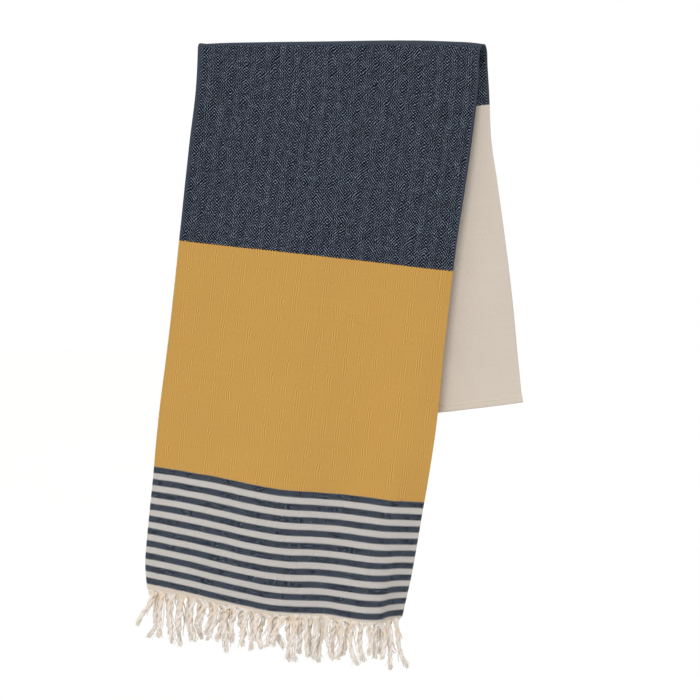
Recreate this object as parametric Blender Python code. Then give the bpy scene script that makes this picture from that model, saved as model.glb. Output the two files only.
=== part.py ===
"""Hammam towel, folded in half along its length and hung askew over a rail that is left out.

Two solids: the woven cloth, one sheet whose two layers meet in a side fold, and the
twisted fringe that hangs from a narrow strip at the cloth's front end.

Metres, +Z up, the rail along X, the viewer looking along +Y. The origin is on top of the
rail, at the middle of the towel's width, where the underside of the fold rests.

Three measures place any point of the cloth:
  across - from the folded side, on the left, to the two open sides, on the right
  along  - down the strip from the top of the rail, above 0 in front, below 0 behind
  drop   - how far a point hangs from the top of the rail, measured over the cloth
"""
import math

import bpy
import numpy as np

# ---------------------------------------------------------------- sizes of the towel
FOLDED_WIDTH = 0.500      # half of the 1 m woven width
FRONT_LENGTH = 1.000      # top of the rail to the front end, at the folded side
BACK_LENGTH = 0.721       # top of the rail to the hemmed back end
LAYER = 0.0012            # thickness of one layer of cloth
LAYER_GAP = 0.0010        # air between the two layers
HEM_DEPTH = 0.012         # turned and sewn end of the back panel
HEM_RAMP = 0.003          # where the hem's thickness fades into the cloth
HEM_EXTRA = 0.0007        # extra thickness of the hem on its outer faces

# ---------------------------------------------------------------- how it hangs
RAIL_RADIUS = 0.0125      # room under the fold for the rail
SKEW = math.radians(6.4)  # the strip crosses the rail this far from square
FOLD_RADIUS = RAIL_RADIUS + LAYER + LAYER_GAP / 2
QUARTER_TURN = FOLD_RADIUS * math.pi / 2
LEAST_STRETCH = 0.15      # floor under the root that keeps the cloth's width true

# Where the two sides of the strip run, along X, at each drop (below 0 is the back panel).
SIDES = (
    # drop, folded side, open side
    (-0.680, -0.1710, 0.3305),
    (-0.560, -0.1830, 0.3184),
    (-0.460, -0.1930, 0.3086),
    (-0.360, -0.2050, 0.2963),
    (-0.260, -0.2185, 0.2822),
    (-0.180, -0.2295, 0.2709),
    (-0.100, -0.2390, 0.2673),
    (-0.045, -0.2490, 0.2640),
    (-0.015, -0.2530, 0.2622),
    (0.000, -0.2554, 0.2575),
    (0.020, -0.2560, 0.2480),
    (0.080, -0.2588, 0.2426),
    (0.200, -0.2737, 0.2273),
    (0.360, -0.2925, 0.2048),
    (0.540, -0.3124, 0.1819),
    (0.700, -0.3326, 0.1643),
    (0.800, -0.3415, 0.1492),
    (0.900, -0.3518, 0.1330),
    (0.950, -0.3551, 0.1251),
    (1.060, -0.3403, 0.1039),
)

# Soft upright folds of the front panel: how far each line of it stands towards the
# viewer of its folded side, at the three drops of FRONT_DROPS. Two crests show, at
# 0.245 and about 0.42 across, and the open side turns away at the foot.
FRONT_DROPS = (0.39, 0.80, 1.03)
FRONT_FOLDS = (
    # across, at the first drop, at the second, at the third
    (0.000, 0.0000, 0.0000, 0.0000),
    (0.050, 0.0085, 0.0112, 0.0157),
    (0.100, 0.0175, 0.0255, 0.0316),
    (0.150, 0.0265, 0.0418, 0.0470),
    (0.200, 0.0345, 0.0594, 0.0604),
    (0.245, 0.0385, 0.0689, 0.0685),
    (0.290, 0.0370, 0.0629, 0.0644),
    (0.335, 0.0335, 0.0527, 0.0535),
    (0.370, 0.0325, 0.0500, 0.0570),
    (0.405, 0.0335, 0.0535, 0.0615),
    (0.435, 0.0340, 0.0570, 0.0514),
    (0.465, 0.0315, 0.0519, 0.0265),
    (0.500, 0.0260, 0.0414, 0.0070),
)
# The folded side itself swings back under the rail as it comes down.
FOLDED_SIDE_SWING = (0.0, -0.0160, -0.0175, -0.0178)

# The back panel is nearly flat, with two shallow waves.
BACK_DROPS = (0.30, 0.68)
BACK_FOLDS = (
    # across, at the first drop, at the second
    (0.000, 0.000, 0.000),
    (0.120, 0.004, 0.007),
    (0.250, 0.001, 0.002),
    (0.370, 0.004, 0.008),
    (0.450, 0.001, 0.003),
    (0.500, -0.002, -0.003),
)

# The fold sits lower over the rail at both sides of the towel than in its middle.
FOLD_SAG = (
    # across, sag
    (0.000, 0.0052),
    (0.030, 0.0034),
    (0.100, 0.0016),
    (0.200, 0.0000),
    (0.440, 0.0000),
    (0.480, 0.0022),
    (0.500, 0.0050),
)

# ---------------------------------------------------------------- fringe
STRIP_GAP = 0.0003        # the strip is parted from the cloth's end by this much
STRIP_DEPTH = 0.0040
FRINGE_START = FRONT_LENGTH + STRIP_GAP + STRIP_DEPTH
LAYER_MIDDLE = (LAYER + LAYER_GAP) / 2
ROOT_WIDTH = 0.0050
ROW_DEPTH = 0.0066        # each row stands this far from the middle of the two layers
LEAST_SPACING = 0.0116    # neighbours of one row never come nearer than this
TWIST_STEP = math.radians(24)
# The strands of the two rows, in millimetres: how far across the root sits, how far the
# strand has strayed sideways a third and two thirds of the way down and at its tip, and
# how far it reaches down.
THIRDS = (0.0, 1 / 3, 2 / 3, 1.0)
OUTER_STRANDS = (
    (10, -5, -18, -30, 64), (28, -2, -2, -4, 79), (46, -2, 2, 4, 84), (68, 0, -4, -5, 60),
    (90, -2, -2, 5, 70), (114, -5, -11, -16, 52), (134, 2, -5, -14, 61), (155, 0, 2, 2, 75),
    (173, -4, -7, -11, 56), (192, -2, -4, -5, 58), (213, -2, 4, 9, 55), (236, 0, -2, -5, 50),
    (257, -9, -13, -15, 46), (278, -2, -5, 2, 71), (298, 0, 2, 5, 62), (317, 0, -4, -5, 66),
    (338, -4, 4, 11, 66), (363, 2, 0, -5, 62), (385, -4, 0, 9, 66), (414, 2, 2, -2, 47),
    (441, 4, 0, -4, 56), (465, 0, 2, 2, 82), (487, 0, 9, 23, 84),
)
INNER_STRANDS = (
    (16, -4, -4, -19, 89), (37, -2, 0, 2, 74), (58, 0, 0, 2, 91), (80, -4, -4, 2, 75),
    (102, -7, -7, 0, 69), (124, -4, -7, -14, 59), (145, -2, -7, -12, 65),
    (164, -4, -11, -16, 63), (183, -5, 0, -4, 60), (203, -4, -4, -7, 68),
    (224, -4, -9, -15, 48), (246, -4, 2, 14, 54), (268, 0, 2, -4, 76), (288, 0, 2, 0, 62),
    (308, 0, 0, -2, 66), (328, 2, -4, -4, 76), (351, -2, -4, -7, 64), (374, -2, -5, -9, 60),
    (401, -4, -2, 4, 64), (428, 2, 2, 4, 58), (452, -2, 2, 3, 55), (476, -4, 2, 5, 60),
)
# Half thickness of a strand on its way from root to frayed tip, with a knot low down.
STRAND_FORM = (
    # share of the length, half thickness
    (0.12, 0.0033),
    (0.26, 0.0038),
    (0.42, 0.0036),
    (0.54, 0.0037),
    (0.62, 0.0031),
    (0.67, 0.0040),
    (0.74, 0.0040),
    (0.79, 0.0028),
    (0.90, 0.0036),
    (1.00, 0.0014),
)

# ---------------------------------------------------------------- mesh density
ACROSS_CELLS = 20
FOLD_CELLS = 4            # round the side fold
RAIL_CELLS = 10           # round the rail
FRONT_CELLS = 25
BACK_CELLS = 14
WIDTH_SAMPLES = 61        # steps that add up the width of the wavy front
STEP = 1.0e-4             # small step for slopes

CLOTH_COLOUR = (0.62, 0.55, 0.46, 1.0)
FRINGE_COLOUR = (0.69, 0.60, 0.49, 1.0)
COTTON_ROUGHNESS = 0.92


# ---------------------------------------------------------------- curves and surface
def through(where, knots, values):
    """Smooth curve through values at knots: cubic pieces with weighted middle slopes."""
    knots = np.asarray(knots, float)
    values = np.asarray(values, float)
    gaps = np.diff(knots)
    column = (-1,) + (1,) * (values.ndim - 1)
    slopes = np.diff(values, axis=0) / gaps.reshape(column)
    share = (gaps[1:] / (gaps[1:] + gaps[:-1])).reshape(column)
    middle = slopes[:-1] * share + slopes[1:] * (1 - share)
    tangents = np.concatenate([slopes[:1], middle, slopes[-1:]])
    cell = np.clip(np.searchsorted(knots, where) - 1, 0, len(gaps) - 1)
    shape = np.shape(where) + (1,) * (values.ndim - 1)
    width = gaps[cell].reshape(shape)
    u = ((where - knots[cell]).reshape(shape)) / width
    return ((2 * u**3 - 3 * u**2 + 1) * values[cell]
            + (u**3 - 2 * u**2 + u) * width * tangents[cell]
            + (3 * u**2 - 2 * u**3) * values[cell + 1]
            + (u**3 - u**2) * width * tangents[cell + 1])


def grown(drop, stations, columns):
    """Blend the columns of a fold table down the panel, from nothing at the rail."""
    knots = np.concatenate([[0.0], stations])
    start = np.zeros_like(columns[..., :1])
    values = np.concatenate([start, columns], axis=-1)
    gaps = np.diff(knots)
    slopes = np.diff(values, axis=-1) / gaps
    tangents = [start[..., 0]]
    for k in range(len(gaps) - 1):
        share = gaps[k + 1] / (gaps[k] + gaps[k + 1])
        tangents.append(slopes[..., k] * share + slopes[..., k + 1] * (1 - share))
    tangents.append(slopes[..., -1])
    depth = np.clip(drop, knots[0], None)
    result = np.zeros_like(depth)
    for k, gap in enumerate(gaps):
        u = (depth - knots[k]) / gap
        piece = ((2 * u**3 - 3 * u**2 + 1) * values[..., k]
                 + (u**3 - 2 * u**2 + u) * gap * tangents[k]
                 + (3 * u**2 - 2 * u**3) * values[..., k + 1]
                 + (u**3 - u**2) * gap * tangents[k + 1])
        result = np.where(depth >= knots[k], piece, result)
    return result


def forward(across, drop):
    """How far the cloth stands towards the viewer of a flat hang, at across and drop."""
    front = np.array(FRONT_FOLDS)
    back = np.array(BACK_FOLDS)
    swing = np.array(FOLDED_SIDE_SWING)[1:]
    front_part = grown(drop, FRONT_DROPS, through(across, front[:, 0], front[:, 1:] + swing))
    back_part = grown(-drop, BACK_DROPS, through(across, back[:, 0], back[:, 1:]))
    return np.where(drop > 0, front_part, back_part)


def share_across(across, drop):
    """Share of the straight width used up at across, as waves take up more cloth."""
    samples = np.linspace(0.0, FOLDED_WIDTH, WIDTH_SAMPLES)
    grid = np.broadcast_to(samples, across.shape + samples.shape)
    depth = forward(grid, np.broadcast_to(drop[..., None], grid.shape))
    slope = np.gradient(depth, samples[1], axis=-1)
    run = np.sqrt(np.maximum(LEAST_STRETCH, 1 - slope**2))
    total = np.cumsum((run[..., 1:] + run[..., :-1]) / 2, axis=-1)
    total = np.concatenate([np.zeros(across.shape + (1,)), total], axis=-1)
    place = across / FOLDED_WIDTH * (WIDTH_SAMPLES - 1)
    cell = np.clip(place.astype(int), 0, WIDTH_SAMPLES - 2)
    rest = place - cell
    low = np.take_along_axis(total, cell[..., None], -1)[..., 0]
    high = np.take_along_axis(total, cell[..., None] + 1, -1)[..., 0]
    return (low * (1 - rest) + high * rest) / total[..., -1]


def middle_point(across, along):
    """Point half-way between the two layers; the strip crosses the rail at SKEW."""
    across, along = np.broadcast_arrays(np.asarray(across, float), np.asarray(along, float))
    drop = across * math.sin(SKEW) + along * math.cos(SKEW)
    sides = np.array(SIDES)
    edges = through(drop, sides[:, 0], sides[:, 1:])
    x = edges[..., 0] + (edges[..., 1] - edges[..., 0]) * share_across(across, drop)
    turn = np.clip(drop / FOLD_RADIUS, -math.pi / 2, math.pi / 2)
    hang = np.maximum(np.abs(drop) - QUARTER_TURN, 0)
    sag = np.array(FOLD_SAG)
    rise = FOLD_RADIUS - through(across, sag[:, 0], sag[:, 1])
    y = -FOLD_RADIUS * np.sin(turn) - forward(across, drop)
    z = -RAIL_RADIUS + rise * np.cos(turn) - hang
    return np.stack([x, y, z], axis=-1)


def frame(across, along):
    """Middle point with its unit outward normal and its unit direction across."""
    here = middle_point(across, along)
    side = middle_point(np.minimum(across + STEP, FOLDED_WIDTH), along) - middle_point(
        np.maximum(across - STEP, 0.0), along)
    down = middle_point(across, along + STEP) - middle_point(across, along - STEP)
    out = np.cross(down, side)
    out /= np.linalg.norm(out, axis=-1, keepdims=True)
    side /= np.linalg.norm(side, axis=-1, keepdims=True)
    return here, out, side


def hairpin(outer_columns, inner_columns, rows, offset):
    """Grid of points at offset from the middle surface, round the folded side.

    It runs from the open side of the outer layer to the fold and back to the open side
    of the inner layer. offset has one value for each row.
    """
    away = offset[:, None, None]
    turn = np.linspace(0, math.pi, FOLD_CELLS + 1)[1:-1]
    here, out, _ = frame(*np.meshgrid(outer_columns[::-1], rows))
    outer = here + away * out
    here, out, _ = frame(*np.meshgrid(inner_columns, rows))
    inner = here - away * out
    edge, out, side = (part[:, None, :] for part in frame(np.zeros(len(rows)), rows))
    arc = edge + away * (np.cos(turn)[:, None] * out - np.sin(turn)[:, None] * side)
    return np.concatenate([outer, arc, inner], axis=1)


# ---------------------------------------------------------------- meshes
def fresh_scene():
    for item in list(bpy.data.objects):
        bpy.data.objects.remove(item, do_unlink=True)


def cotton(name, colour):
    material = bpy.data.materials.new(name)
    material.use_nodes = True
    shader = material.node_tree.nodes["Principled BSDF"]
    shader.inputs["Base Color"].default_value = colour
    shader.inputs["Roughness"].default_value = COTTON_ROUGHNESS
    shader.inputs["Metallic"].default_value = 0.0
    return material


def add_object(name, points, faces, material):
    mesh = bpy.data.meshes.new(name)
    mesh.from_pydata([tuple(p) for p in points], [], faces)
    mesh.materials.append(material)
    mesh.validate()
    item = bpy.data.objects.new(name, mesh)
    bpy.context.scene.collection.objects.link(item)
    return item


def sheet_faces(rows, columns, open_cells=()):
    """Faces of a sheet with a top grid and a bottom grid, numbered one after the other.

    open_cells names the cells along the last row whose end face is left out.
    """
    top = np.arange(rows * columns).reshape(rows, columns)
    low = top + rows * columns
    faces = []
    for r in range(rows - 1):
        for c in range(columns - 1):
            faces.append((top[r, c], top[r, c + 1], top[r + 1, c + 1], top[r + 1, c]))
            faces.append((low[r, c], low[r + 1, c], low[r + 1, c + 1], low[r, c + 1]))
        faces.append((top[r, 0], top[r + 1, 0], low[r + 1, 0], low[r, 0]))
        faces.append((top[r, -1], low[r, -1], low[r + 1, -1], top[r + 1, -1]))
    for c in range(columns - 1):
        faces.append((top[0, c], low[0, c], low[0, c + 1], top[0, c + 1]))
        if c not in open_cells:
            faces.append((top[-1, c], top[-1, c + 1], low[-1, c + 1], low[-1, c]))
    return [tuple(int(i) for i in face) for face in faces]


def build_cloth():
    rail = QUARTER_TURN / math.cos(SKEW)
    reach = rail + FOLDED_WIDTH * math.tan(SKEW)
    rows = np.concatenate([
        -np.linspace(BACK_LENGTH, BACK_LENGTH - HEM_DEPTH, 2),
        np.linspace(-BACK_LENGTH + HEM_DEPTH + HEM_RAMP, -reach, BACK_CELLS),
        np.linspace(-reach, rail, RAIL_CELLS + 1)[1:],
        np.linspace(rail, FRONT_LENGTH, FRONT_CELLS + 1)[1:],
    ])
    columns = np.linspace(0.0, FOLDED_WIDTH, ACROSS_CELLS + 1)
    thicker = np.where(rows <= HEM_DEPTH - BACK_LENGTH + STEP, HEM_EXTRA, 0.0)
    inner = np.full(len(rows), LAYER_GAP / 2)
    top = hairpin(columns, columns, rows, inner + LAYER + thicker)
    low = hairpin(columns, columns, rows, inner)
    points = np.concatenate([top.reshape(-1, 3), low.reshape(-1, 3)])
    add_object("cloth", points, sheet_faces(len(rows), top.shape[1]),
               cotton("undyed cotton cloth", CLOTH_COLOUR))


def strand_row(table):
    """Seats of one row of strands, where each goes on its way down, and their lengths."""
    table = np.array(table) / 1000
    seats, lengths = table[:, 0], table[:, -1]
    shares = np.array(STRAND_FORM)[:, 0]
    strays = np.concatenate([0 * table[:, :1], table[:, 1:-1]], axis=1)
    places = seats[:, None] + through(shares, THIRDS, strays.T).T
    for i in range(1, len(seats)):
        places[i] = np.maximum(places[i], places[i - 1] + LEAST_SPACING)
    return seats, places, lengths


def strand_points(places, length, layer, twist):
    """Four corners of one strand at every step, below the strip it is rooted in."""
    shares, halves = np.array(STRAND_FORM).T
    seen = np.clip(places, 0.0, FOLDED_WIDTH)
    here, out, side = frame(seen, np.full(len(seen), FRINGE_START))
    level = np.array([1.0, 1.0, 0.0])
    out, side = (v * level / np.linalg.norm(v * level, axis=-1, keepdims=True)
                 for v in (out, side))
    depth = LAYER_MIDDLE + (ROW_DEPTH - LAYER_MIDDLE) * np.minimum(1, shares / shares[1])
    centre = here + side * (places - seen)[:, None] + out * (layer * depth)[:, None]
    centre[:, 2] -= shares * length
    turn = twist * TWIST_STEP * np.arange(len(shares))
    angles = turn[:, None] + math.pi / 4 * np.array([3, 5, 7, 1])
    reach = (halves * math.sqrt(2))[:, None, None]
    return centre[:, None] + reach * (np.cos(angles)[..., None] * side[:, None]
                                      + np.sin(angles)[..., None] * out[:, None])


def strand_faces(rings):
    """Walls and tip of a four-sided strand, from its rings of point numbers."""
    faces = [(upper[c], upper[(c + 1) % 4], lower[(c + 1) % 4], lower[c])
             for upper, lower in zip(rings, rings[1:]) for c in range(4)]
    return faces + [tuple(rings[-1])]


def build_fringe():
    rows = [strand_row(table) for table in (OUTER_STRANDS, INNER_STRANDS)]
    half = ROOT_WIDTH / 2
    columns = [np.sort(np.concatenate([[0.0, FOLDED_WIDTH], seats - half, seats + half]))
               for seats, _, _ in rows]
    ends = FRINGE_START - np.array([STRIP_DEPTH, 0.0])
    top = hairpin(*columns, ends, np.full(2, LAYER_GAP / 2 + LAYER))
    low = hairpin(*columns, ends, np.full(2, LAYER_GAP / 2))
    wide = top.shape[1]
    points = [top.reshape(-1, 3), low.reshape(-1, 3)]
    count = 4 * wide
    faces, rooted = [], set()
    for layer, (seats, places, lengths) in zip((1, -1), rows):
        for i in range(len(seats)):
            if layer > 0:
                left, right = wide_index_outer(columns[0], seats[i], half)
                rim = [wide + left, 3 * wide + left, 3 * wide + right, wide + right]
            else:
                left, right = wide_index_inner(columns[1], seats[i], half, wide)
                rim = [3 * wide + left, wide + left, wide + right, 3 * wide + right]
            rooted.add(min(left, right))
            corners = strand_points(places[i], lengths[i], layer, (-1) ** i)
            rings = count + np.arange(4 * len(corners)).reshape(-1, 4)
            faces += strand_faces([rim, *rings])
            points.append(corners.reshape(-1, 3))
            count += 4 * len(corners)
    faces += sheet_faces(2, wide, rooted)
    add_object("fringe", np.concatenate(points), [tuple(map(int, f)) for f in faces],
               cotton("undyed cotton fringe", FRINGE_COLOUR))


def wide_index_outer(columns, seat, half):
    """Point numbers of a root's left and right end in the outer layer, counted from
    the open side."""
    return [len(columns) - 1 - int(np.argmin(np.abs(columns - seat - e)))
            for e in (-half, half)]


def wide_index_inner(columns, seat, half, wide):
    """The same in the inner layer, which comes after the outer layer and the fold."""
    return [wide - len(columns) + int(np.argmin(np.abs(columns - seat - e)))
            for e in (-half, half)]


def main():
    fresh_scene()
    build_cloth()
    build_fringe()


main()
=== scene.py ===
"""Hammam towel, folded in half along its length and hanging askew, as over a rail.

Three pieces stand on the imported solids: the woven cloth, the stitches of its hem, and the
knotted fringe. Metres, +Z up, the rail's line along X, the viewer looking along +Y. The
origin is where the top of the rail would be, at the middle of the towel's width.

Three measures place any point of the cloth:
  across - from the folded side, on the left, to the two open sides, on the right
  along  - down the strip from the top of the rail, above 0 in front, below 0 behind
  drop   - how far a point hangs from the top of the rail, measured over the cloth
"""

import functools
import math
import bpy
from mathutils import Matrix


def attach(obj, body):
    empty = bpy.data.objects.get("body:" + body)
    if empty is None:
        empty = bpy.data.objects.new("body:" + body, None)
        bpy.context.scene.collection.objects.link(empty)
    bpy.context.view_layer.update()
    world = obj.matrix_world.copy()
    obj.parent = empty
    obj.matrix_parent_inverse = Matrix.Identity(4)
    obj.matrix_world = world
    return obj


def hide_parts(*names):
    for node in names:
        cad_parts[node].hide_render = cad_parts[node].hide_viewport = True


bl_info = {
    "name": "Hammam Towel",
    "version": (1, 0, 0),
    "blender": (4, 5, 0),
    "location": "3D View > Sidebar > Towel",
    "description": "A flat-woven cotton towel with a knotted fringe, folded over a rail",
    "category": "Add Mesh",
}

import bpy
import numpy as np
from bpy.props import FloatProperty, FloatVectorProperty, IntProperty, PointerProperty

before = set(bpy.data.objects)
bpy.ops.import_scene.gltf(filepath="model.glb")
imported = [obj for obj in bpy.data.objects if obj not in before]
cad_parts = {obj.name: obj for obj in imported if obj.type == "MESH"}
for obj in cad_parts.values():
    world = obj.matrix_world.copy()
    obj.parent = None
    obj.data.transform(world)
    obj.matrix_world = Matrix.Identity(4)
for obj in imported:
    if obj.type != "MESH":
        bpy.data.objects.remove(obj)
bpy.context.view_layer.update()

# ---------------------------------------------------------------- how the towel hangs
RAIL_RADIUS = 0.0125      # room under the fold for the rail
SKEW = math.radians(6.4)  # the strip crosses the rail this far from square
HALF_PAIR = 0.0017        # from the rail to half-way between the two layers
FOLD_RADIUS = RAIL_RADIUS + HALF_PAIR
QUARTER_TURN = FOLD_RADIUS * math.pi / 2
LEAST_STRETCH = 0.15      # floor under the root that keeps the cloth's width true
WIDTH_PARTS = 60          # parts that the width is measured in, over its waves
# A row of points with one a millimetre above and below it, which give it its slope.
THREE_ROWS = np.array([[-0.001], [0.0], [0.001]])

# Where the two sides of the strip run, along X, at each drop (below 0 is the back panel).
SIDES = (
    # drop, folded side, open side
    (-0.680, -0.1710, 0.3305),
    (-0.560, -0.1830, 0.3184),
    (-0.460, -0.1930, 0.3086),
    (-0.360, -0.2050, 0.2963),
    (-0.260, -0.2185, 0.2822),
    (-0.180, -0.2295, 0.2709),
    (-0.100, -0.2390, 0.2673),
    (-0.045, -0.2490, 0.2640),
    (-0.015, -0.2530, 0.2622),
    (0.000, -0.2554, 0.2575),
    (0.020, -0.2560, 0.2480),
    (0.080, -0.2588, 0.2426),
    (0.200, -0.2737, 0.2273),
    (0.360, -0.2925, 0.2048),
    (0.540, -0.3124, 0.1819),
    (0.700, -0.3326, 0.1643),
    (0.800, -0.3415, 0.1492),
    (0.900, -0.3518, 0.1330),
    (0.950, -0.3551, 0.1251),
    (1.060, -0.3403, 0.1039),
)

# Soft upright folds of the front panel: how far each line of it stands towards the viewer
# of its folded side, at the three drops of FRONT_DROPS.
FRONT_DROPS = (0.39, 0.80, 1.03)
FRONT_FOLDS = (
    # across, at the first drop, at the second, at the third
    (0.000, 0.0000, 0.0000, 0.0000),
    (0.050, 0.0085, 0.0112, 0.0157),
    (0.100, 0.0175, 0.0255, 0.0316),
    (0.150, 0.0265, 0.0418, 0.0470),
    (0.200, 0.0345, 0.0594, 0.0604),
    (0.245, 0.0385, 0.0689, 0.0685),
    (0.290, 0.0370, 0.0629, 0.0644),
    (0.335, 0.0335, 0.0527, 0.0535),
    (0.370, 0.0325, 0.0500, 0.0570),
    (0.405, 0.0335, 0.0535, 0.0615),
    (0.435, 0.0340, 0.0570, 0.0514),
    (0.465, 0.0315, 0.0519, 0.0265),
    (0.500, 0.0260, 0.0414, 0.0070),
)
# The folded side itself swings back under the rail as it comes down.
FOLDED_SIDE_SWING = (0.0, -0.0160, -0.0175, -0.0178)

# The back panel is nearly flat, with two shallow waves.
BACK_DROPS = (0.30, 0.68)
BACK_FOLDS = (
    # across, at the first drop, at the second
    (0.000, 0.000, 0.000),
    (0.120, 0.004, 0.007),
    (0.250, 0.001, 0.002),
    (0.370, 0.004, 0.008),
    (0.450, 0.001, 0.003),
    (0.500, -0.002, -0.003),
)

# The fold sits lower over the rail at both sides of the towel than in its middle.
FOLD_SAG = (
    # across, sag
    (0.000, 0.0052),
    (0.030, 0.0034),
    (0.100, 0.0016),
    (0.200, 0.0000),
    (0.440, 0.0000),
    (0.480, 0.0022),
    (0.500, 0.0050),
)

# Faint ripples of slack cloth between the folds: height, waves a metre across and along,
# and where the wave starts.
RIPPLES = (
    (0.00042, 9.0, 2.1, 0.4),
    (0.00034, -13.0, 3.7, 2.2),
    (0.00026, 19.0, 1.3, 4.0),
    (0.00018, 6.0, 11.0, 1.1),
    (0.00012, 27.0, 8.0, 5.2),
)
# Soft creases: from one point of the cloth to another (across, along), then half width
# and height; below 0 is a trough.
CREASES = (
    (0.478, 0.045, 0.492, 0.200, 0.006, 0.0012),
    (0.440, 0.620, 0.455, 0.960, 0.016, 0.0007),
    (0.300, 0.700, 0.318, 0.990, 0.014, -0.0010),
    (0.090, 0.560, 0.120, 0.930, 0.018, -0.0010),
    (0.355, 0.030, 0.330, 0.240, 0.010, 0.0006),
    (0.120, -0.080, 0.160, -0.520, 0.016, 0.0012),
    (0.330, -0.110, 0.300, -0.690, 0.018, -0.0012),
)
FULL_RELIEF_DROP = 0.10   # where ripples and creases have their full height

# The two layers of a panel, in metres.
AIR = 0.0008              # least air between them
AIR_GAIN = 0.0004         # what it gains in places
LOOP_AIR = 0.0034         # what it gains at the folded side, by the rail
LOOP_LOSS = 0.0018        # what that loses down the panel
LOOP_REACH = 0.0065       # how far the loop of the folded side reaches
OPEN_AIR = 0.0012         # what the air gains at the open sides, by the foot
HEM_GAIN = 0.0010         # what the turned hem adds to the thickness
SEAM_PULL = 0.0005        # what the stitches take off it
SEAM_INSET = 0.0018       # from the hem's inner edge to its stitches
SEAM_REACH = 0.0008       # how far along the strip their pull reaches
END_ROUNDING = 0.0012     # over this length both ends are rounded off

# The weft stops unevenly: past WEFT_END the cloth runs on for LAST_PICKS, from the folded
# side to the open side, and the warp goes on alone.
WEFT_END = 0.9915
LAST_PICKS = ((0.00, 0.0105), (0.14, 0.0085), (0.28, 0.0062), (0.50, 0.0050))

# ---------------------------------------------------------------- fringe
FRINGE_START = 1.0043     # where the strands leave the woven end
ROOT_DEPTH = 0.0011       # each row starts this far from the middle of the two layers
ROW_DEPTH = 0.0066        # and stands this far from it after a quarter of its length
LEAST_SPACING = 0.0100    # neighbours of one row never come nearer than this
# The strands of the two rows, in millimetres: how far across the root sits, how far the
# strand has strayed sideways a third and two thirds of the way down and at its tip, and
# how far it reaches down.
THIRDS = (0.0, 1 / 3, 2 / 3, 1.0)
OUTER_STRANDS = (
    (10, -5, -18, -30, 64), (28, -2, -2, -4, 79), (46, -2, 2, 4, 84), (68, 0, -4, -5, 60),
    (90, -2, -2, 5, 70), (114, -5, -11, -16, 52), (134, 2, -5, -14, 61), (155, 0, 2, 2, 75),
    (173, -4, -7, -11, 56), (192, -2, -4, -5, 58), (213, -2, 4, 9, 55),
    (236, 0, -2, -5, 50), (257, -9, -13, -15, 46), (278, -2, -5, 2, 71),
    (298, 0, 2, 5, 62), (317, 0, -4, -5, 66), (338, -4, 4, 11, 66), (363, 2, 0, -5, 62),
    (385, -4, 0, 9, 66), (414, 2, 2, -2, 47), (441, 4, 0, -4, 56), (465, 0, 2, 2, 82),
    (487, 0, 9, 23, 84),
)
INNER_STRANDS = (
    (16, -4, -4, -19, 89), (37, -2, 0, 2, 74), (58, 0, 0, 2, 91), (80, -4, -4, 2, 75),
    (102, -7, -7, 0, 69), (124, -4, -7, -14, 59), (145, -2, -7, -12, 65),
    (164, -4, -11, -16, 63), (183, -5, 0, -4, 60), (203, -4, -4, -7, 68),
    (224, -4, -9, -15, 48), (246, -4, 2, 14, 54), (268, 0, 2, -4, 76), (288, 0, 2, 0, 62),
    (308, 0, 0, -2, 66), (328, 2, -4, -4, 76), (351, -2, -4, -7, 64), (374, -2, -5, -9, 60),
    (401, -4, -2, 4, 64), (428, 2, 2, 4, 58), (452, -2, 2, 3, 55), (476, -4, 2, 5, 60),
)
STRANDS = np.array(OUTER_STRANDS + INNER_STRANDS) / 1000
STRAND_STEPS = 34
CURL = 0.0016             # how far a strand curls off its line
ROOT_LENGTH = 0.011       # the plies draw together over this length
ROOT_SPREAD = 0.0036      # and start this far to each side of their strand
PLY_OFFSET = 0.68         # from a strand's line to a ply's, in ply radii
ROOT_RUN = 0.013          # how far the root yarns come down
ROOT_FAN = 0.0108         # and how far to each side they start
# The finer yarns: how many to a strand, and the radius of one.
ROOT_YARNS, ROOT_RADIUS = 9, 0.00088
TIP_YARNS, TIP_RADIUS = 26, 0.00062
STRAY_YARNS, STRAY_RADIUS = 5, 0.0010
HAIRS, HAIR_RADIUS = 22, 0.00020
HAIR_LENGTHS = (0.0040, 0.0085)
PAST_ROOTS = 0.05         # this far down a strand the painted bounce light is at its weakest

# ---------------------------------------------------------------- camera
EYE = (0.01356, -1.700, -0.45287)  # 1.7 m in front, 45 cm below the top of the rail
LENS = 48.37
SENSOR = 36.0
SHIFT = -0.08

# ---------------------------------------------------------------- floor
FLOOR_DROP = 2.30         # from the rail down to the floor
FLOOR_RADIUS = 30.0
FLOOR_RINGS = 12
FLOOR_SIDES = 64


def linear(code):
    """Linear colour of an sRGB hex code."""
    parts = [int(code[i:i + 2], 16) / 255 for i in (1, 3, 5)]
    return tuple(p / 12.92 if p <= 0.04045 else ((p + 0.055) / 1.055) ** 2.4 for p in parts)


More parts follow.
